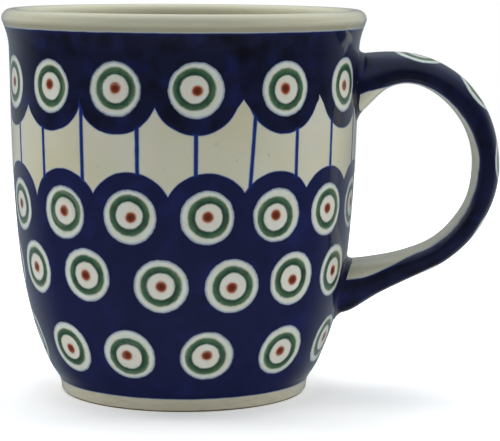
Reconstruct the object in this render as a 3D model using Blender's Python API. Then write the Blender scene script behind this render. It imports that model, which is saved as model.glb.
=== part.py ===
"""A stoneware mug: a turned cup, a strap handle, and the two slip joints that hold the handle on.

The cup stands on its foot ring at z = 0 and the handle points along +X. Outlines are given in
millimetres from the cup's own axis, and the whole mug is centred on the origin.
"""

import math

import bmesh
import bpy
from mathutils import Vector

MM = 0.001
MERGE = 0.000001            # metres: joins the seam and the poles of a turned shape

CUP_FACETS = 64
LIP_STEPS = 6               # spans round the lip's nose
WALL_STEPS = 2              # spans between two points of a wall's outline
STRAP_STEPS = 3             # spans between two stations of the handle
STRAP_FACETS = 24           # points round the handle's section

CUP_HEIGHT = 94.0
LIP_RADIUS = 44.6           # at the lip's widest
LIP_THICKNESS = 4.7
LIP_NOSE = 2.4              # height of the rounded top of the lip
FOOT_RADIUS = 30.1          # outer edge of the flat that the mug stands on
FOOT_INNER_RADIUS = 25.6
RECESS_RADIUS = 24.6
RECESS_DEPTH = 1.8
FLOOR_HEIGHT = 6.6          # the floor inside, above the table

# Radius and height down the outside of the wall, from under the lip to the foot
OUTER_WALL = [
    (LIP_RADIUS, CUP_HEIGHT - LIP_NOSE),
    (43.1, 86.8),
    (42.75, 81.0),
    (42.45, 65.5),
    (41.7, 48.0),
    (40.1, 31.0),
    (37.2, 17.3),
    (34.2, 9.0),
    (32.8, 6.1),
    (31.4, 4.0),
    (30.8, 2.8),
    (30.45, 0.5),
    (FOOT_RADIUS, 0.0),
]

# Radius and height up the inside, from the middle of the floor to the lip
INNER_WALL = [
    (0.0, FLOOR_HEIGHT),
    (19.0, 7.2),
    (27.5, 9.8),
    (32.4, 15.5),
    (35.5, 27.5),
    (37.4, 46.0),
    (38.3, 67.0),
    (38.6, 83.5),
    (LIP_RADIUS - LIP_THICKNESS, CUP_HEIGHT - LIP_NOSE),
]

# The handle's stations from the upper root to the lower one. Each is the x and z of the strap's
# outer side, the x and z of its inner side, and half its width along Y.
STRAP = [
    (37.5, 83.0, 37.5, 62.5, 9.4),
    (44.0, 83.5, 44.0, 69.5, 9.1),
    (50.5, 83.9, 49.5, 74.8, 8.3),
    (57.0, 83.3, 55.2, 76.1, 7.8),
    (63.8, 80.8, 60.6, 74.3, 7.5),
    (70.2, 76.0, 65.5, 70.3, 7.3),
    (75.2, 68.5, 69.3, 64.8, 7.2),
    (77.5, 60.0, 71.15, 58.45, 7.2),
    (77.6, 52.0, 70.95, 52.15, 7.2),
    (75.4, 44.6, 69.55, 46.75, 7.2),
    (71.0, 37.5, 65.85, 41.25, 7.3),
    (64.0, 31.5, 60.85, 37.0, 7.5),
    (56.0, 27.7, 53.35, 34.15, 7.8),
    (47.8, 23.6, 45.5, 32.7, 8.3),
    (41.0, 19.3, 41.0, 32.3, 8.9),
    (34.0, 17.6, 34.0, 31.9, 9.2),
]
ROOT_STATIONS = 4           # stations that a slip joint's own outline is taken from
STRAP_BELLY = 0.38          # share of the strap's thickness inside its widest line
INNER_SQUARENESS = 2.6      # superellipse power of the flatter, inner side

SLIP_THICKNESS = 1.0
SLIP_BEAD = 1.2             # how far the squeezed-out slip stands beyond the handle's root
GAP = 0.3

COBALT = (0.012, 0.016, 0.075, 1.0)
CREAM = (0.62, 0.6, 0.48, 1.0)
GLAZE_ROUGHNESS = 0.12


def smooth(points, steps):
    """Points along a Catmull-Rom curve through every point given, with steps spans between two."""
    knots = [Vector(point) for point in points]
    knots.insert(0, 2 * knots[0] - knots[1])
    knots.append(2 * knots[-1] - knots[-2])
    curve = []
    for before, start, end, after in zip(knots, knots[1:], knots[2:], knots[3:]):
        leaving = (end - before) / 2
        arriving = (after - start) / 2
        for step in range(steps):
            t = step / steps
            curve.append(
                start * (2 * t**3 - 3 * t**2 + 1)
                + leaving * (t**3 - 2 * t**2 + t)
                + end * (3 * t**2 - 2 * t**3)
                + arriving * (t**3 - t**2)
            )
    curve.append(knots[-2])
    return curve


def offset(outline, distance):
    """The outline moved outwards by distance, square to itself at each point."""
    moved = []
    for i, point in enumerate(outline):
        along = outline[min(i + 1, len(outline) - 1)] - outline[max(i - 1, 0)]
        outward = Vector((-along.y, along.x)).normalized()
        moved.append(point + outward * distance)
    return moved


def glaze(name, colour):
    """A glossy glaze of one colour."""
    material = bpy.data.materials.new(name)
    material.use_nodes = True
    shader = material.node_tree.nodes["Principled BSDF"]
    shader.inputs["Base Color"].default_value = colour
    shader.inputs["Roughness"].default_value = GLAZE_ROUGHNESS
    shader.inputs["Metallic"].default_value = 0.0
    return material


def solid(name, form, parent, material=None):
    """An object made from a closed bmesh, in the mug's frame."""
    bmesh.ops.recalc_face_normals(form, faces=form.faces)
    mesh = bpy.data.meshes.new(name)
    form.to_mesh(mesh)
    form.free()
    mesh.shade_smooth()
    mesh.set_sharp_from_angle(angle=math.radians(40))
    made = bpy.data.objects.new(name, mesh)
    bpy.context.collection.objects.link(made)
    made.parent = parent
    if material is None:
        made.hide_render = True
        made.display_type = "WIRE"
    else:
        mesh.materials.append(material)
    return made


def turned(name, outline, parent, material=None):
    """A solid turned about the cup's axis from an outline that starts and ends on that axis."""
    form = bmesh.new()
    verts = [form.verts.new((radius * MM, 0, height * MM)) for radius, height in outline]
    edges = [form.edges.new(pair) for pair in zip(verts, verts[1:])]
    bmesh.ops.spin(
        form,
        geom=verts + edges,
        cent=(0, 0, 0),
        axis=(0, 0, 1),
        angle=math.tau,
        steps=CUP_FACETS,
        use_merge=True,
    )
    bmesh.ops.remove_doubles(form, verts=form.verts, dist=MERGE)
    return solid(name, form, parent, material)


def strap_section(station, spread):
    """The strap's rounded section at a station, pushed out by spread all round."""
    outer_x, outer_z, inner_x, inner_z, half_width = station
    inner = Vector((inner_x, 0, inner_z))
    through = Vector((outer_x, 0, outer_z)) - inner
    spine = inner + through * STRAP_BELLY
    out = through.normalized()
    crown = through.length * (1 - STRAP_BELLY) + spread
    belly = through.length * STRAP_BELLY + spread
    points = []
    for i in range(STRAP_FACETS):
        angle = math.tau * i / STRAP_FACETS
        power = 1.0 if math.sin(angle) >= 0 else 2 / INNER_SQUARENESS
        depth = crown if math.sin(angle) >= 0 else belly
        rise = math.copysign(abs(math.sin(angle)) ** power, math.sin(angle))
        side = math.copysign(abs(math.cos(angle)) ** power, math.cos(angle))
        across = Vector((0, side * (half_width + spread), 0))
        points.append((spine + out * rise * depth + across) * MM)
    return points


def strap(name, stations, spread, parent, material=None):
    """A strap lofted through the stations, closed at both ends."""
    form = bmesh.new()
    rings = []
    for station in smooth(stations, STRAP_STEPS):
        rings.append([form.verts.new(point) for point in strap_section(station, spread)])
    for ring, following in zip(rings, rings[1:]):
        for i in range(STRAP_FACETS):
            j = (i + 1) % STRAP_FACETS
            form.faces.new((ring[i], ring[j], following[j], following[i]))
    form.faces.new(rings[0])
    form.faces.new(rings[-1])
    return solid(name, form, parent, material)


def cut(target, cutter, operation):
    """Leave an exact Boolean on the target."""
    boolean = target.modifiers.new(cutter.name, "BOOLEAN")
    boolean.object = cutter
    boolean.operation = operation
    boolean.solver = "EXACT"


def cup_outline():
    """The cup's half section: up the inside, over the lip, down the outside, across the foot."""
    lip = []
    for step in range(1, LIP_STEPS):
        angle = math.pi * (1 - step / LIP_STEPS)
        middle = LIP_RADIUS - LIP_THICKNESS / 2
        radius = middle + math.cos(angle) * LIP_THICKNESS / 2
        lip.append((radius, CUP_HEIGHT - LIP_NOSE + math.sin(angle) * LIP_NOSE))
    foot = [
        (FOOT_INNER_RADIUS, 0.0),
        (RECESS_RADIUS, RECESS_DEPTH),
        (0.0, RECESS_DEPTH),
    ]
    inner = [tuple(point) for point in smooth(INNER_WALL, WALL_STEPS)]
    outer = [tuple(point) for point in smooth(OUTER_WALL, WALL_STEPS)]
    return inner + lip + outer + foot


def clearance(name, distance, parent):
    """A cutter with the cup's outer shape, filled in and grown by distance."""
    wall = [tuple(point) for point in offset(smooth(OUTER_WALL, WALL_STEPS), distance)]
    top = (0.0, wall[0][1])
    bottom = (0.0, wall[-1][1])
    return turned(name, [top] + wall + [bottom], parent)


def slip_joint(name, stations, inner_cutter, outer_cutter, parent, material):
    """The thin bed of slip between the cup and one root of the handle."""
    bed = strap(name, stations, SLIP_BEAD, parent, material)
    cut(bed, outer_cutter, "INTERSECT")
    cut(bed, inner_cutter, "DIFFERENCE")


def main():
    for old in list(bpy.data.objects):
        bpy.data.objects.remove(old, do_unlink=True)

    # The axis stands half the handle's overhang to the left, so that the mug is centred on X
    reach = max(station[0] for station in smooth(STRAP, STRAP_STEPS))
    mug_axis = bpy.data.objects.new("mug_axis", None)
    mug_axis.location.x = (LIP_RADIUS - reach) / 2 * MM
    bpy.context.collection.objects.link(mug_axis)

    turned("cup", cup_outline(), mug_axis, glaze("cup_glaze", COBALT))

    slip_inside = clearance("slip_inside", GAP, mug_axis)
    slip_outside = clearance("slip_outside", GAP + SLIP_THICKNESS, mug_axis)
    handle_end = clearance("handle_end", GAP + SLIP_THICKNESS + GAP, mug_axis)

    handle = strap("handle", STRAP, 0.0, mug_axis, glaze("handle_glaze", COBALT))
    cut(handle, handle_end, "DIFFERENCE")

    slip = glaze("slip_glaze", CREAM)
    upper_root = STRAP[:ROOT_STATIONS]
    lower_root = STRAP[-ROOT_STATIONS:]
    slip_joint("upper_luting_slip", upper_root, slip_inside, slip_outside, mug_axis, slip)
    slip_joint("lower_luting_slip", lower_root, slip_inside, slip_outside, mug_axis, slip)


main()
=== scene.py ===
import math

import bpy
import numpy as np
from mathutils import Matrix, Vector


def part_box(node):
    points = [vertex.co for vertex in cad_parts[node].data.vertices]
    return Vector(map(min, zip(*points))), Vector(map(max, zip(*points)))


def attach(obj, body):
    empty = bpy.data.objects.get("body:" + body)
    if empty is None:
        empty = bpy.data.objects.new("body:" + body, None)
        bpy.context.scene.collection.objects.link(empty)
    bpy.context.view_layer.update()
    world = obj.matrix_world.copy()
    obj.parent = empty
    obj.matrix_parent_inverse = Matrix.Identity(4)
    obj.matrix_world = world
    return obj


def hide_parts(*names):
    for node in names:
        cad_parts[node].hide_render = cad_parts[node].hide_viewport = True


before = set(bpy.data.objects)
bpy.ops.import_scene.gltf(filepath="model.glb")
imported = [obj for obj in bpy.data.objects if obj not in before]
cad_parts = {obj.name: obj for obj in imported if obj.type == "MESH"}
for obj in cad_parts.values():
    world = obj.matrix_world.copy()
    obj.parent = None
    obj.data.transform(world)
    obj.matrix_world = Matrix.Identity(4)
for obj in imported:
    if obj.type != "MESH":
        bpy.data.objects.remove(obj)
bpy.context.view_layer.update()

mm = 0.001
cupLow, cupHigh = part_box("cup")
axisX = (cupLow.x + cupHigh.x) / 2          # the cup's own axis
print("frame loaded:", ", ".join(sorted(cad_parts)))


cameraSetup = {
    "lens": 148.9,
    "sensor": 36.0,
    "place": (-0.0003, -0.5086, 0.1091),
    "pitch": 7.54,                          # degrees down
    "roll": 0.32,
}

studio = {
    "floorRadius": 0.5, "floorGlow": 0.4, "aim": (0.0, 0.0, 0.045),
    "overheadPower": 10.2, "overheadSize": (1.1, 0.85), "overheadPlace": (0.0, 0.27, 1.0),
    "leftPower": 2.6, "leftSize": (0.35, 0.7), "leftPlace": (-0.75, 0.25, 0.35),
    "rightPower": 2.6, "rightSize": (0.35, 0.7), "rightPlace": (0.8, 0.25, 0.35),
    "backdrop": 0.28, "backdropTint": (0.8, 0.9, 1.0, 1.0), "front": 0.04, "above": 0.35,
}


class Wire:                                 # a node's socket that can be used in sums
    def __init__(self, graph, socket):
        self.graph = graph
        self.socket = socket

    def math(self, operation, *others):
        return self.graph.math(operation, self, *others)

    def __add__(self, other):
        return self.math("ADD", other)

    def __sub__(self, other):
        return self.math("SUBTRACT", other)

    def __rsub__(self, other):
        return self.graph.math("SUBTRACT", other, self)

    def __mul__(self, other):
        return self.math("MULTIPLY", other)

    def __truediv__(self, other):
        return self.math("DIVIDE", other)

    def __abs__(self):
        return self.math("ABSOLUTE")

    __radd__ = __add__
    __rmul__ = __mul__

    def out(self, name):                    # another output of the same node
        return Wire(self.graph, self.socket.node.outputs[name])

    def below(self, edge, soft):            # 1 under the edge, 0 over it, with a soft step
        return ((edge - self) / soft + 0.5).math("MAXIMUM", 0.0).math("MINIMUM", 1.0)


class Graph:                                # one node tree
    def __init__(self, tree):
        self.tree = tree
        tree.nodes.clear()

    def node(self, kind, settings=None, inputs=None, output=0):
        made = self.tree.nodes.new(kind)
        for name, value in (settings or {}).items():
            setattr(made, name, value)
        for name, value in (inputs or {}).items():
            if isinstance(value, Wire):
                self.tree.links.new(value.socket, made.inputs[name])
            else:
                made.inputs[name].default_value = value
        return Wire(self, made.outputs[output]) if made.outputs else None

    def math(self, operation, *values):
        return self.node("ShaderNodeMath", {"operation": operation}, dict(enumerate(values)))

    def mix(self, start, end, factor):      # colours
        settings = {"data_type": "RGBA"}
        return self.node("ShaderNodeMix", settings, {0: factor, 6: start, 7: end}, output=2)

    def noise(self, place, size, detail=2.0, seed=0.0):      # size is a feature's size in metres
        inputs = {"Vector": place, "W": seed, "Scale": 1 / size, "Detail": detail}
        return self.node("ShaderNodeTexNoise", {"noise_dimensions": "4D"}, inputs, output="Fac")

    def attribute(self, name):              # the three numbers of a vector attribute
        vector = self.node("ShaderNodeAttribute", {"attribute_name": name}, output="Vector")
        parts = self.node("ShaderNodeSeparateXYZ", None, {0: vector})
        return parts, parts.out("Y"), parts.out("Z")


def colour(hexCode):                        # "#rrggbb" as the screen shows it, made linear
    values = [int(hexCode[i:i + 2], 16) / 255 for i in (1, 3, 5)]
    return [v / 12.92 if v < 0.04045 else ((v + 0.055) / 1.055) ** 2.4 for v in values] + [1.0]


def addCamera():
    bpy.ops.object.camera_add(location=cameraSetup["place"])
    camera = bpy.context.object
    camera.data.lens = cameraSetup["lens"]
    camera.data.sensor_fit = "HORIZONTAL"
    camera.data.sensor_width = cameraSetup["sensor"]
    tilt = Matrix.Rotation(math.radians(90 - cameraSetup["pitch"]), 4, "X")
    roll = Matrix.Rotation(math.radians(cameraSetup["roll"]), 4, "Z")
    camera.matrix_world = Matrix.Translation(camera.location) @ tilt @ roll
    bpy.context.scene.camera = camera


def addFloor():
    bpy.ops.object.select_all(action="DESELECT")
    bpy.ops.mesh.primitive_circle_add(vertices=128, radius=studio["floorRadius"], fill_type="NGON")
    floor = bpy.context.object
    floor.name = "floor"
    material = bpy.data.materials.new("paleFloor")
    material.use_nodes = True
    graph = Graph(material.node_tree)
    place = graph.node("ShaderNodeTexCoord", output="Object")
    shade = graph.mix(colour("#f0f0f0"), colour("#f5f5f5"), graph.noise(place, 0.05))
    surface = graph.node("ShaderNodeBsdfPrincipled", None, {
        "Base Color": shade, "Roughness": 0.8, "Emission Color": (1.0, 1.0, 1.0, 1.0),
        "Emission Strength": studio["floorGlow"],
    })
    graph.node("ShaderNodeOutputMaterial", None, {"Surface": surface})
    floor.data.materials.append(material)
    floor.visible_glossy = False            # the glaze mirrors the dark room, not the floor


def addSoftbox(name):
    place = studio[name + "Place"]
    bpy.ops.object.light_add(type="AREA", location=place)
    light = bpy.context.object
    light.name = name + "Softbox"
    light.data.shape = "RECTANGLE"
    light.data.size, light.data.size_y = studio[name + "Size"]
    light.data.energy = studio[name + "Power"]
    aim = Vector(studio["aim"]) - Vector(place)
    light.rotation_euler = aim.to_track_quat("-Z", "Y").to_euler()
    light.visible_glossy = False            # no lamp shows in the glaze, only the backdrop


def addRoom():
    # Seen directly the room is white; what lights the mug is a white backdrop and a dim front
    world = bpy.data.worlds.new("studioRoom")
    world.use_nodes = True
    graph = Graph(world.node_tree)
    direction = graph.node("ShaderNodeTexCoord", output="Generated")
    parts = graph.node("ShaderNodeSeparateXYZ", None, {0: direction})
    behind = parts.out("Y")
    height = parts.out("Z")
    backdrop = (1 - behind.below(0.5, 0.5)) * (1 - height.below(-0.55, 0.3))
    above = 1 - height.below(0.6, 0.4)
    glow = backdrop * (studio["backdrop"] - studio["front"])
    strength = studio["front"] + glow + above * studio["above"]
    lit = graph.node("ShaderNodeBackground", None, {"Color": studio["backdropTint"], "Strength": strength})
    white = graph.node("ShaderNodeBackground", None, {"Color": (1, 1, 1, 1), "Strength": 1.0})
    seen = graph.node("ShaderNodeLightPath", output="Is Camera Ray")
    both = graph.node("ShaderNodeMixShader", None, {0: seen, 1: lit, 2: white})
    graph.node("ShaderNodeOutputWorld", None, {"Surface": both})
    bpy.context.scene.world = world
    bpy.context.scene.view_settings.view_transform = "Standard"


addCamera()
addFloor()
addRoom()
for side in ("overhead", "left", "right"):
    addSoftbox(side)
print("stage ready")


# Outlines are in millimetres from the cup's axis

def smoothCurve(points, spacing):           # a Catmull-Rom curve, with a point every so many mm
    knots = [Vector(point) for point in points]
    knots.insert(0, 2 * knots[0] - knots[1])
    knots.append(2 * knots[-1] - knots[-2])
    curve = []
    for before, start, end, after in zip(knots, knots[1:], knots[2:], knots[3:]):
        leaving, arriving = (end - before) / 2, (after - start) / 2
        spans = max(1, round((end - start).length / spacing))
        for step in range(spans):
            t = step / spans
            ends = start * (2 * t**3 - 3 * t**2 + 1) + end * (3 * t**2 - 2 * t**3)
            curve.append(ends + leaving * (t**3 - 2 * t**2 + t) + arriving * (t**3 - t**2))
    curve.append(knots[-2])
    return curve


def startPiece():
    bpy.ops.object.select_all(action="DESELECT")


def finishPiece(name):
    bpy.ops.object.mode_set(mode="OBJECT")
    bpy.ops.object.transform_apply(location=True, rotation=True, scale=True)
    bpy.ops.object.shade_smooth()
    piece = bpy.context.object
    piece.name = name
    return piece


# Glazes, as the screen shows them
creamGlaze = {
    "body": "#d7d6c2", "warm": "#d2cdae",
    # the lip colour is a warmer cream whose lightness is painted light, the under-lip colour is painted
    # shade, and the inside colour is painted light on the inner wall
    "speckle": "#b3a98c", "foot": "#dad4bc", "lip": "#d9d6bc", "lipUnderShade": "#908c74", "inside": "#f1eedf",
    "clay": "#7c6a50", "clayDark": "#4e4231",
}
cobaltGlaze = {
    "body": "#14183b", "dark": "#0b0d1f", "bright": "#1b2467", "rich": "#191f55",
    "edge": "#10174f", "line": "#0f2d78", "fringe": "#a9b8c4",
}
eyeGlaze = {                                # lengths in mm; the stamp as it was cut for the cup
    "white": "#dfe5dc", "innerWhite": "#e3dccb",
    "teal": "#224d3d", "leaf": "#587a55", "darkLeaf": "#17382a",
    "dot": "#8e3a1c", "dotCore": "#4a1405", "dotRim": "#bf7a52",
    "discRadius": 6.2, "ringRadius": 4.9, "ringInner": 3.2, "dotRadius": 1.2,
    "ringOff": 0.9, "dotOff": 0.9, "edge": 0.28,
}
glazeCoat = {
    "roughness": 0.32, "bareRoughness": 0.85, "coatRoughness": 0.05,
    "peel": 0.0016, "waves": 0.013, "relief": 0.00006,
}


def glazedShader(name, paint):              # paint gives a colour and where the clay is bare
    material = bpy.data.materials.new(name)
    material.use_nodes = True
    graph = Graph(material.node_tree)
    place = graph.node("ShaderNodeTexCoord", output="Object")
    shade, bare = paint(graph, place)
    peel = graph.noise(place, glazeCoat["peel"], detail=1.0)
    waves = graph.noise(place, glazeCoat["waves"], detail=1.0, seed=3.0)
    grit = graph.noise(place, 0.0005, detail=3.0, seed=5.0)
    height = peel * 0.12 + waves
    gloss = glazeCoat["roughness"] + waves * 0.06
    coat = 1.0
    if bare:
        height = height * (1 - bare) + grit * bare
        gloss = gloss + bare * (glazeCoat["bareRoughness"] - glazeCoat["roughness"])
        coat = 1 - bare
    bump = graph.node("ShaderNodeBump", None, {
        "Height": height, "Strength": 1.0, "Distance": glazeCoat["relief"],
    })
    surface = graph.node("ShaderNodeBsdfPrincipled", None, {
        "Base Color": shade, "Roughness": gloss, "Coat Weight": coat, "Normal": bump,
        "Coat Roughness": glazeCoat["coatRoughness"], "Coat IOR": 1.5, "Specular IOR Level": 0.2,
    })
    graph.node("ShaderNodeOutputMaterial", None, {"Surface": surface})
    return material


def creamPaint(graph, place):
    cloud = graph.noise(place, 0.018, seed=11.0)
    shade = graph.mix(colour(creamGlaze["warm"]), colour(creamGlaze["body"]), (cloud - 0.3) * 2.5)
    speck = graph.noise(place, 0.0011, detail=1.0, seed=12.0).below(0.27, 0.03)
    return graph.mix(shade, colour(creamGlaze["speckle"]), speck * 0.5)


def cobaltPaint(graph, place, rich=0.0):                 # richer and bluer by the share given in rich, which the cup gives towards its bottom
    patches = graph.noise(place, 0.0045, detail=3.0, seed=21.0)
    shade = graph.mix(colour(cobaltGlaze["dark"]), colour(cobaltGlaze["body"]), (patches - 0.3) * 4)
    shade = graph.mix(shade, colour(cobaltGlaze["rich"]), rich * 0.6)
    streaks = graph.noise(place, 0.007, detail=2.0, seed=22.0)
    return graph.mix(shade, colour(cobaltGlaze["bright"]), ((streaks - 0.55) * 4).math("MINIMUM", 0.4))


def length2(graph, across, along):
    return graph.math("SQRT", across * across + along * along)


def eyePaint(graph, place, ground, attributeName):
    look = eyeGlaze
    across, along, number = graph.attribute(attributeName)
    present = 1 - number.below(-0.5, 0.1)
    chance = graph.node("ShaderNodeTexWhiteNoise", {"noise_dimensions": "1D"}, {"W": number}, output="Color")
    chanceX = graph.node("ShaderNodeSeparateXYZ", None, {0: chance})
    chanceY, chanceZ = chanceX.out("Y"), chanceX.out("Z")
    wobble = graph.noise(place, 0.0042, detail=1.0, seed=31.0) - 0.5
    ragged = graph.noise(place, 0.0026, detail=2.0, seed=32.0) - 0.5
    edge = look["edge"]

    serrated = graph.noise(place, 0.0011, detail=1.0, seed=33.0) - 0.5
    disc = length2(graph, across, along) + wobble * 0.4 + serrated * 0.35 + (chanceZ - 0.5) * 0.3
    halo = disc.below(look["discRadius"] + 0.15, edge) * present
    shade = graph.mix(ground, colour(cobaltGlaze["fringe"]), halo)
    white = graph.mix(colour(look["white"]), colour(creamGlaze["body"]), ragged * 2 + 0.5)
    shade = graph.mix(shade, white, disc.below(look["discRadius"] - 0.25, edge) * present)

    offX, offY = (chanceX - 0.5) * look["ringOff"], (chanceY - 0.5) * look["ringOff"]
    ring = length2(graph, across - offX, along - offY) + wobble * 0.5 + serrated * 0.3
    leaf = graph.mix(colour(look["teal"]), colour(look["leaf"]), (ring - 3.5) * 0.8 + ragged * 2)
    leaf = graph.mix(leaf, colour(look["darkLeaf"]), ((wobble + ragged) * 2.2).math("MAXIMUM", 0.0))
    shade = graph.mix(shade, leaf, ring.below(look["ringRadius"], edge * 1.6) * present)
    inner = graph.mix(colour(look["innerWhite"]), colour(look["white"]), ragged * 2 + 0.4)
    shade = graph.mix(shade, inner, ring.below(look["ringInner"], edge * 1.4) * present)

    dotX, dotY = (chanceY - 0.5) * look["dotOff"], (chanceZ - 0.5) * look["dotOff"]
    dot = length2(graph, across - dotX, along - dotY) + ragged * 0.6
    shade = graph.mix(shade, colour(look["dotRim"]), dot.below(look["dotRadius"] + 0.15, 0.5) * present)
    shade = graph.mix(shade, colour(look["dot"]), dot.below(look["dotRadius"] - 0.1, 0.35) * present)
    core = dot.below(look["dotRadius"] - 0.55, 0.6) * present
    return graph.mix(shade, colour(look["dotCore"]), core * 0.7)


def cobaltOver(graph, place, cream, cobalt, distance, line=None, brush=None):
    # cobalt where the distance is under 0, in mm, with a brushed rim and a pale fringe
    rim = distance if line is None else distance.math("MINIMUM", line)
    shade = graph.mix(cream, colour(cobaltGlaze["fringe"]), rim.below(0.12, 0.3))
    shade = graph.mix(shade, brush or colour(cobaltGlaze["edge"]), rim.below(-0.05, 0.25))
    return graph.mix(shade, cobalt, distance.below(-0.6, 0.5))


cupShape = {
    "columns": 300,
    "outsideSpacing": 1.0,
    "insideSpacing": 2.2,
    "lipSpans": 14,
    "lipThickness": 4.7,
    "lipNose": 2.4,
    "lipRadius": 44.6,
    "height": 94.0,
    # radius and height, from the middle of the floor up the inside
    "inside": [
        (0.0, 6.6), (19.0, 7.2), (27.5, 9.8), (32.4, 15.5), (35.5, 27.5), (37.4, 46.0), (38.3, 67.0),
        (38.6, 83.5), (39.9, 91.6),
    ],
    # down the outside to the foot
    "outside": [
        (44.6, 91.6), (43.1, 86.8), (42.75, 81.0), (42.45, 65.5), (41.7, 48.0), (40.1, 31.0), (37.2, 17.3),
        (34.2, 9.0), (32.8, 6.1), (31.4, 4.0), (30.8, 2.8), (30.45, 0.5), (30.1, 0.0),
    ],
    # across the foot ring and its recess
    "underside": [
        (30.1, 0.0), (26.6, 0.03), (25.8, 0.2), (25.3, 0.9), (24.9, 1.5), (24.1, 1.8),
        (12.0, 1.85), (0.0, 1.9),
    ],
}

# Heights in mm, and directions in degrees from the front towards the handle, which is at 90
cupPattern = {
    "rows": [
        {
            "over": 62.0, "height": 76.9, "blank": [90.0],
            "eyes": [-70, -45.2, -20, 5.5, 35, 64.5, 115.3, 140.2, 165.1, 190, 215, 240, 265],
        },
        {
            "over": 40.0, "height": 47.7, "blank": [],
            "eyes": [
                -67.4, -40.5, -15.7, 9.2, 32.9, 56, 78.4, 102.2, 126, 149.8, 173.6, 197.4, 221.2, 245, 268.8,
            ],
        },
        {
            "over": 23.2, "height": 32.3, "blank": [],
            "eyes": [
                -58.5, -32.6, -5.8, 17.9, 40.8, 64.4, 115.6, 138.8, 162.1, 185.3, 208.5, 231.8, 255, 278.3,
            ],
            "rise": [0.9, 1.0, -0.7, -0.8, -0.1, -0.1],
        },
        {
            "over": -1.0, "height": 14.5, "blank": [],
            "eyes": [-77.2, -46.1, -19, 10.3, 41.1, 70.7, 101, 131.3, 161.6, 191.9, 222.2, 252.5],
        },
    ],
    "lines": [
        -65, -49.1, -32, -12.9, 5.4, 23.5, 39.7, 56.4, 74.9, 93.3, 111.7, 130.0, 148.4, 166.8, 185.2, 203.5,
        221.9, 240.3, 258.6, 277.0,
    ],
    "slant": {5: 1.0},                      # degrees that a line leans over its height
    "lobeRadius": 10.4, "fillOver": 76.5, "fillUnder": 47.0,
    "peak": 74.6, "peakSlope": 1.3, "peakFoot": 70.3,
    "lineWidth": 1.05, "lipBorder": 89.86, "footBorder": 3.2, "bareUnder": 0.38,
}


def lipArc():
    middle = cupShape["lipRadius"] - cupShape["lipThickness"] / 2
    base = cupShape["height"] - cupShape["lipNose"]
    arc = []
    for step in range(1, cupShape["lipSpans"]):
        angle = math.pi * (1 - step / cupShape["lipSpans"])
        across = math.cos(angle) * cupShape["lipThickness"] / 2
        arc.append(Vector((middle + across, base + math.sin(angle) * cupShape["lipNose"])))
    return arc


def makeCup():
    inside = smoothCurve(cupShape["inside"], cupShape["insideSpacing"])
    outside = smoothCurve(cupShape["outside"], cupShape["outsideSpacing"])
    underside = smoothCurve(cupShape["underside"], cupShape["insideSpacing"])
    outline = inside + lipArc() + outside + underside[1:]
    startPiece()
    first = outline[0]
    bpy.ops.mesh.primitive_plane_add(size=mm, location=(axisX + first.x * mm, 0, first.y * mm))
    bpy.ops.object.mode_set(mode="EDIT")
    bpy.ops.mesh.merge(type="CENTER")
    for here, there in zip(outline, outline[1:]):
        step = (there - here) * mm
        bpy.ops.mesh.extrude_verts_indiv()
        bpy.ops.transform.translate(value=(step.x, 0, step.y))
    bpy.ops.mesh.select_all(action="SELECT")
    bpy.ops.mesh.spin(steps=cupShape["columns"], angle=math.tau, center=(axisX, 0, 0), axis=(0, 0, 1))
    bpy.ops.mesh.select_all(action="SELECT")
    bpy.ops.mesh.remove_doubles(threshold=0.000002)
    bpy.ops.mesh.normals_make_consistent(inside=False)
    return finishPiece("cupShell")


def cornersOf(piece):                       # each corner's face, its place, and each face's middle, in mm
    mesh = piece.data
    points = np.empty(len(mesh.vertices) * 3)
    mesh.vertices.foreach_get("co", points)
    owners = np.empty(len(mesh.loops), dtype=int)
    mesh.loops.foreach_get("vertex_index", owners)
    middles = np.empty(len(mesh.polygons) * 3)
    mesh.polygons.foreach_get("center", middles)
    sizes = np.empty(len(mesh.polygons), dtype=int)
    mesh.polygons.foreach_get("loop_total", sizes)
    faces = np.repeat(np.arange(len(sizes)), sizes)
    return faces, points.reshape(-1, 3)[owners] / mm, middles.reshape(-1, 3) / mm


def writeCorners(piece, name, *columns):
    made = piece.data.attributes.new(name, "FLOAT_VECTOR", "CORNER")
    made.data.foreach_set("vector", np.column_stack(columns).ravel())


def turnedWithin(angle):                    # an angle brought between half a turn back and forward
    return (angle + np.pi) % (2 * np.pi) - np.pi


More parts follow.
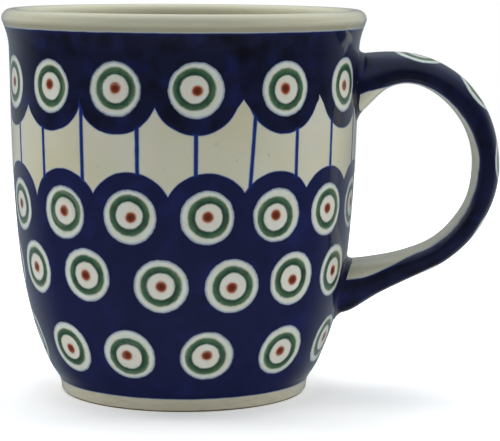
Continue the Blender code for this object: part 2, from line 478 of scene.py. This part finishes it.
def markCup(piece):
    faces, corners, middles = cornersOf(piece)
    outside = np.array([tuple(point) for point in smoothCurve(cupShape["outside"], 0.5)])[::-1]
    climb = np.concatenate([[0], np.cumsum(np.hypot(*np.diff(outside, axis=0).T))])

    def polar(points):                      # direction, distance from the axis and climb up the wall
        away = points[:, 0] - axisX / mm
        return np.arctan2(away, -points[:, 1]), np.hypot(away, points[:, 1]), climbTo(points[:, 2])

    def climbTo(height):
        return np.interp(height, outside[:, 1], climb)

    direction, radius, up = polar(corners)
    faceDirection, faceRadius, faceUp = polar(middles)
    stamps = [np.zeros((len(corners), 3)), np.zeros((len(corners), 3))]
    ceiling, number = math.inf, 0
    for row in cupPattern["rows"]:
        eyes = []
        for place, degrees in enumerate(row["eyes"]):
            rise = row.get("rise", [])
            height = row["height"] + (rise[place] if place < len(rise) else 0.0)
            number += 1
            eyes.append((math.radians(degrees), climbTo(height), number))
        eyes += [(math.radians(degrees), climbTo(row["height"]), -1) for degrees in row["blank"]]
        eyes = np.array(eyes)
        wanted = np.flatnonzero((middles[:, 2] > row["over"]) & (middles[:, 2] <= ceiling))
        ceiling = row["over"]
        across = turnedWithin(faceDirection[wanted, None] - eyes[:, 0]) * faceRadius[wanted, None]
        order = np.argsort(np.hypot(across, faceUp[wanted, None] - eyes[:, 1]), axis=1)
        inRow = np.zeros(len(middles), dtype=bool)
        inRow[wanted] = True
        spot = np.zeros(len(middles), dtype=int)
        spot[wanted] = np.arange(len(wanted))
        chosen = np.flatnonzero(inRow[faces])
        for stamp, rank in zip(stamps, (0, 1)):
            eye = eyes[order[spot[faces[chosen]], rank]]
            stamp[chosen, 0] = turnedWithin(direction[chosen] - eye[:, 0]) * radius[chosen]
            stamp[chosen, 1] = up[chosen] - eye[:, 1]
            stamp[chosen, 2] = eye[:, 2]
    wallRadius = np.interp(middles[:, 2], outside[:, 1], outside[:, 0])
    isOutside = (faceRadius > wallRadius - 1.5)[faces]
    stamps[0][~isOutside, 2] = -1           # no eyes on the inside
    writeCorners(piece, "eye", *stamps[0].T)
    writeCorners(piece, "eyeNext", *stamps[1].T)

    lines = np.radians(cupPattern["lines"])
    nearest = np.argmin(np.abs(turnedWithin(faceDirection[:, None] - lines)), axis=1)[faces]
    lean = np.zeros(len(lines))
    for place, degrees in cupPattern["slant"].items():
        lean[place] = math.radians(degrees)
    leaning = lean[nearest] * (corners[:, 2] - 62.0) / 12.0
    toLine = turnedWithin(direction - lines[nearest] - leaning) * radius
    writeCorners(piece, "wall", toLine, corners[:, 2], isOutside.astype(float))


def cupPaint(graph, place):
    pattern = cupPattern
    cream = creamPaint(graph, place)
    across, along, number = graph.attribute("eye")
    acrossNext, alongNext = graph.attribute("eyeNext")[:2]
    toLine, height, outside = graph.attribute("wall")
    wobble = graph.noise(place, 0.004, detail=2.0, seed=41.0) - 0.5

    # the lip is a warmer cream whose lightness is set as painted light, a darker band under the lip is
    # painted shade, the inside is painted lighter as painted light, and the foot shows the wheel's lines
    cream = graph.mix(cream, colour(creamGlaze["lip"]), 1 - height.below(90.6, 1.5))
    # painted shade: the wall just under the lip darkened, as if the lip shaded it
    underLipShade = height.below(91.4, 1.2) * (1 - height.below(89.6, 0.4))
    cream = graph.mix(cream, colour(creamGlaze["lipUnderShade"]), underLipShade * 0.8)
    # painted light: the inside of the cup lightened, standing in for the light that falls into it
    cream = graph.mix(cream, colour(creamGlaze["inside"]), (1 - outside) * height.below(91.0, 1.5))
    flat = graph.node("ShaderNodeVectorMath", {"operation": "MULTIPLY"}, {0: place, 1: (0.2, 0.2, 1.0)})
    rings = graph.noise(flat, 0.0007, detail=2.0, seed=42.0)
    footShade = graph.mix(colour(creamGlaze["foot"]), colour(creamGlaze["speckle"]), (rings - 0.4) * 1.2)
    cream = graph.mix(cream, footShade, height.below(3.0, 0.6) * 0.9)

    # thin lines down the cream band
    beyond = (height - pattern["fillOver"]).math("MAXIMUM", pattern["fillUnder"] - height)
    line = abs(toLine) + wobble * 0.25 + beyond.math("MAXIMUM", 0.0) - pattern["lineWidth"] / 2

    # cobalt lobes round the eyes, and cobalt above and below them
    lobe = length2(graph, across, along).math("MINIMUM", length2(graph, acrossNext, alongNext))
    lobe = lobe - pattern["lobeRadius"] + wobble * 0.5
    gap = (abs(acrossNext) - abs(across)) / 2            # mm from the middle between two eyes
    above = (pattern["peak"] - gap * pattern["peakSlope"]).math("MAXIMUM", pattern["peakFoot"]) - height
    under = height - pattern["fillUnder"]
    cobalt = lobe.math("MINIMUM", above).math("MINIMUM", under)
    borders = (height - pattern["lipBorder"]).math("MAXIMUM", pattern["footBorder"] - height)
    cobalt = cobalt.math("MAXIMUM", borders + wobble * 0.25) + (1 - outside) * 50
    line = line + (1 - outside) * 50
    brush = graph.mix(colour(cobaltGlaze["edge"]), colour(cobaltGlaze["line"]), line.below(0.3, 0.4) + wobble)
    ground = cobaltPaint(graph, place, height.below(62.0, 10.0))
    shade = cobaltOver(graph, place, cream, ground, cobalt, line, brush)
    shade = eyePaint(graph, place, shade, "eye")

    bare = (height + wobble * 0.5).below(pattern["bareUnder"], 0.3)
    clay = graph.mix(colour(creamGlaze["clay"]), colour(creamGlaze["clayDark"]), wobble * 2 + 0.5)
    return graph.mix(shade, clay, bare), bare


cup = makeCup()
markCup(cup)
cup.data.materials.append(glazedShader("paintedStoneware", cupPaint))
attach(cup, "root")
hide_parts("cup")
print("cup turned:", len(cup.data.polygons), "faces")


handleShape = {
    "facets": 28,
    "spacing": 3.2,
    "belly": 0.38,                          # share of the thickness inside the widest line
    "squareness": 2.6,
    # outer x and z, inner x and z, half width, and how far the cream comes round, from the upper root
    "stations": [
        (40.4, 83.1, 40.4, 66.6, 9.3, 5.4),
        (44.0, 83.5, 44.0, 69.5, 9.1, 4.8),
        (50.5, 83.9, 49.5, 74.8, 8.3, 0.8),
        (57.0, 83.3, 55.2, 76.1, 7.8, 0.4),
        (63.8, 80.8, 60.6, 74.3, 7.5, 0.5),
        (70.2, 76.0, 65.5, 70.3, 7.3, 0.7),
        (75.2, 68.5, 69.3, 64.8, 7.2, 0.75),
        (77.5, 60.0, 71.15, 58.45, 7.2, 0.95),
        (77.6, 52.0, 70.95, 52.15, 7.2, 0.7),
        (75.4, 44.6, 69.55, 46.75, 7.2, 0.45),
        (71.0, 37.5, 65.85, 41.25, 7.3, 0.55),
        (64.0, 31.5, 60.85, 37.0, 7.5, 0.5),
        (56.0, 27.7, 53.35, 34.15, 7.8, 0.95),
        (47.8, 23.6, 45.5, 32.7, 8.3, 3.1),
        (41.0, 19.3, 41.0, 32.3, 8.9, 3.7),
        (36.4, 18.4, 38.2, 32.1, 9.1, 3.7),
    ],
    # x and z of each eye on the crest, and how much smaller it is than the cup's
    "eyes": [
        (57.2, 83.1, 1.06), (71.8, 74.3, 1.06), (77.7, 57.3, 1.06), (74.0, 41.0, 1.27), (61.0, 29.8, 1.27),
    ],
}


def sectionOf(station, grow=0.0):           # centre, tilt, thickness and half width, in metres
    outer = Vector((station[0] + axisX / mm, 0, station[1]))
    inner = Vector((station[2] + axisX / mm, 0, station[3]))
    through = (outer - inner).normalized()
    outer += through * grow
    inner -= through * grow
    centre = inner.lerp(outer, handleShape["belly"])
    thickness = (outer - inner).length
    return centre * mm, math.atan2(through.x, through.z), thickness * mm, (station[4] + grow) * mm


def turnPoints(angle, centre):              # with no window the operator turns the other way
    bpy.ops.transform.rotate(value=-angle, orient_axis="Y", center_override=centre)


def pickPoints(piece, wanted):
    bpy.ops.mesh.select_all(action="DESELECT")
    bpy.ops.object.mode_set(mode="OBJECT")
    for point in piece.data.vertices:
        point.select = wanted(point.co / mm)
    bpy.ops.object.mode_set(mode="EDIT")


def pullStrap(sections):                    # a rounded section pulled through a list of sections
    startPiece()
    facets = handleShape["facets"]
    upright = (0, math.pi / 2, 0)
    bpy.ops.mesh.primitive_circle_add(vertices=facets, radius=mm, fill_type="NGON", rotation=upright)
    bpy.ops.object.transform_apply(rotation=True)
    piece = bpy.context.object
    bpy.ops.object.mode_set(mode="EDIT")
    bpy.ops.mesh.select_mode(type="VERT")
    bpy.ops.mesh.select_all(action="DESELECT")

    # the inner side is squarer than a circle
    power = 2 / handleShape["squareness"]
    for step in range(1, facets // 4):
        angle = math.tau * step / facets
        across, down = math.cos(angle), -math.sin(angle)
        pickPoints(piece, lambda co: abs(abs(co.y) - across) < 0.01 and abs(co.z - down) < 0.01)
        squarer = (1, across ** (power - 1), (-down) ** (power - 1))
        bpy.ops.transform.resize(value=squarer, center_override=(0, 0, 0))
    belly = handleShape["belly"]
    pickPoints(piece, lambda co: co.z > 0.01)
    bpy.ops.transform.resize(value=(1, 1, 1 - belly), center_override=(0, 0, 0))
    pickPoints(piece, lambda co: co.z < -0.01)
    bpy.ops.transform.resize(value=(1, 1, belly), center_override=(0, 0, 0))
    bpy.ops.mesh.select_all(action="SELECT")

    place, tilt, thickness, halfWidth = Vector((0, 0, 0)), 0.0, mm, mm
    for number, (centre, newTilt, newThickness, newHalfWidth) in enumerate(sections):
        if number:
            bpy.ops.mesh.extrude_region()
        turnPoints(-tilt, place)
        stretch = (1, newHalfWidth / halfWidth, newThickness / thickness)
        bpy.ops.transform.resize(value=stretch, center_override=place)
        turnPoints(newTilt, place)
        bpy.ops.transform.translate(value=centre - place)
        place, tilt, thickness, halfWidth = centre, newTilt, newThickness, newHalfWidth
    bpy.ops.mesh.select_all(action="SELECT")
    bpy.ops.mesh.normals_make_consistent(inside=False)
    return piece


def smoothPiece(piece, levels):
    bpy.ops.object.mode_set(mode="OBJECT")
    soften = piece.modifiers.new("softForm", "SUBSURF")
    soften.levels = levels
    soften.render_levels = levels
    bpy.ops.object.modifier_apply(modifier=soften.name)


def makeHandle():
    stations = smoothCurve(handleShape["stations"], handleShape["spacing"])
    piece = pullStrap([sectionOf(station) for station in stations])
    smoothPiece(piece, 2)
    return finishPiece("handleStrap")


def markHandle(piece):
    faces, corners = cornersOf(piece)[:2]
    corners = corners - np.array([axisX / mm, 0, 0])
    stations = np.array([tuple(station) for station in smoothCurve(handleShape["stations"], 0.4)])
    outer, inner = stations[:, 0:2], stations[:, 2:4]
    crest = np.concatenate([[0], np.cumsum(np.hypot(*np.diff(outer, axis=0).T))])
    through = outer - inner
    thickness = np.hypot(*through.T)
    through = through / thickness[:, None]
    onward = np.column_stack([through[:, 1], -through[:, 0]])

    # the station whose line a corner is nearest to, then how far it is past that line
    flat = corners[:, [0, 2]]
    nearest = np.empty(len(corners), dtype=int)
    for start in range(0, len(corners), 20000):
        part = flat[start:start + 20000, None] - inner
        past = (part * onward).sum(2)
        height = (part * through).sum(2)
        outside = np.maximum(0, np.maximum(-height, height - thickness))
        nearest[start:start + 20000] = np.argmin(np.hypot(past, outside), axis=1)
    toStation = flat - inner[nearest]
    past = (toStation * onward[nearest]).sum(1)
    rise = (toStation * through[nearest]).sum(1)
    step = np.where(past > 0, 1, -1)
    beside = np.clip(nearest + step, 0, len(stations) - 1)
    pastBeside = ((flat - inner[beside]) * onward[beside]).sum(1)
    share = np.clip(past / np.where(np.abs(past - pastBeside) < 1e-9, 1, past - pastBeside), 0, 1)
    along = crest[nearest] + (crest[beside] - crest[nearest]) * share

    # the way round the section from the crest
    halfWidth = stations[nearest, 4]
    crown = thickness[nearest] * (1 - handleShape["belly"])
    turn = np.arctan2(corners[:, 1] / halfWidth, (rise - thickness[nearest] * handleShape["belly"]) / crown)
    fractions = (np.arange(12) + 0.5) / 12
    angles = turn[:, None] * fractions
    speed = np.hypot(halfWidth[:, None] * np.cos(angles), crown[:, None] * np.sin(angles))
    around = speed.mean(1) * turn

    eyes = []
    for number, (x, z, scale) in enumerate(handleShape["eyes"]):
        eyes.append((crest[np.argmin(np.hypot(outer[:, 0] - x, outer[:, 1] - z))], scale, 101 + number))
    eyes = np.array(eyes)
    faceAlong = np.bincount(faces, along) / np.bincount(faces)
    chosen = eyes[np.argmin(np.abs(faceAlong[:, None] - eyes[:, 0]), axis=1)[faces]]
    writeCorners(piece, "eye", around * chosen[:, 1], (along - chosen[:, 0]) * chosen[:, 1], chosen[:, 2])
    writeCorners(piece, "strap", rise - stations[nearest, 5], along, around)


def handlePaint(graph, place):
    overCream, along, around = graph.attribute("strap")
    wobble = graph.noise(place, 0.005, detail=2.0, seed=51.0) - 0.5
    cream, cobalt = creamPaint(graph, place), cobaltPaint(graph, place)
    shade = cobaltOver(graph, place, cream, cobalt, wobble * 0.5 - overCream)
    outerSide = 1 - overCream.below(0.8, 0.4)
    return graph.mix(shade, eyePaint(graph, place, shade, "eye"), outerSide), None


handle = makeHandle()
markHandle(handle)
handle.data.materials.append(glazedShader("paintedHandle", handlePaint))
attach(handle, "root")
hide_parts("handle")
print("handle pulled:", len(handle.data.polygons), "faces")


slipShape = {
    # how far off the wall and how far out from the strap each ring of the fillet lies, in mm
    "fillet": [
        (-1.0, 0.6), (-0.5, 1.5), (-0.02, 1.6), (0.25, 0.8), (0.7, 0.35), (1.4, 0.08),
        (2.0, -0.15), (2.4, -0.6),
    ],
    "upper": {
        "wall": (42.75, 83.3, 42.5, 68.0, 9.15), "off": (46.0, 83.65, 45.6, 71.0, 8.9), "radius": 42.6,
        "bumps": 0.03,
    },
    "lower": {
        "wall": (37.7, 18.55, 40.3, 32.25, 9.0), "off": (41.0, 19.4, 43.2, 32.45, 8.75), "radius": 39.2,
        "bumps": 0.1,
    },
    "reach": 3.2,                           # from the wall line to the off line, in mm
}


def makeSlip(name, shape, seed):
    wall, off = Vector(shape["wall"]), Vector(shape["off"])
    sections = []
    for distance, grow in slipShape["fillet"]:
        sections.append(sectionOf(wall.lerp(off, distance / slipShape["reach"]), grow))
    piece = pullStrap(sections)
    bpy.ops.mesh.select_all(action="SELECT")
    bpy.ops.transform.vertex_random(offset=shape["bumps"] * mm, seed=seed)
    bpy.ops.object.mode_set(mode="OBJECT")
    # wrapped round the cup: the sides lie further back than the middle
    radius = shape["radius"] * mm
    for point in piece.data.vertices:
        point.co.x -= radius - math.sqrt(radius**2 - point.co.y**2)
    smoothPiece(piece, 2)
    return finishPiece(name)


def slipPaint(graph, place):
    shade = cobaltPaint(graph, place)
    specks = 1 - graph.noise(place, 0.0016, detail=2.0, seed=61.0).below(0.66, 0.08)
    shade = graph.mix(shade, colour(cobaltGlaze["fringe"]), specks * 0.25)
    return shade, None


slipGlaze = glazedShader("slipJoint", slipPaint)
for seed, (name, part) in enumerate((("upperSlipJoint", "upper"), ("lowerSlipJoint", "lower"))):
    slip = makeSlip(name, slipShape[part], seed + 1)
    slip.data.materials.append(slipGlaze)
    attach(slip, "root")
    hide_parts(part + "_luting_slip")
    print(name, "made:", len(slip.data.polygons), "faces")
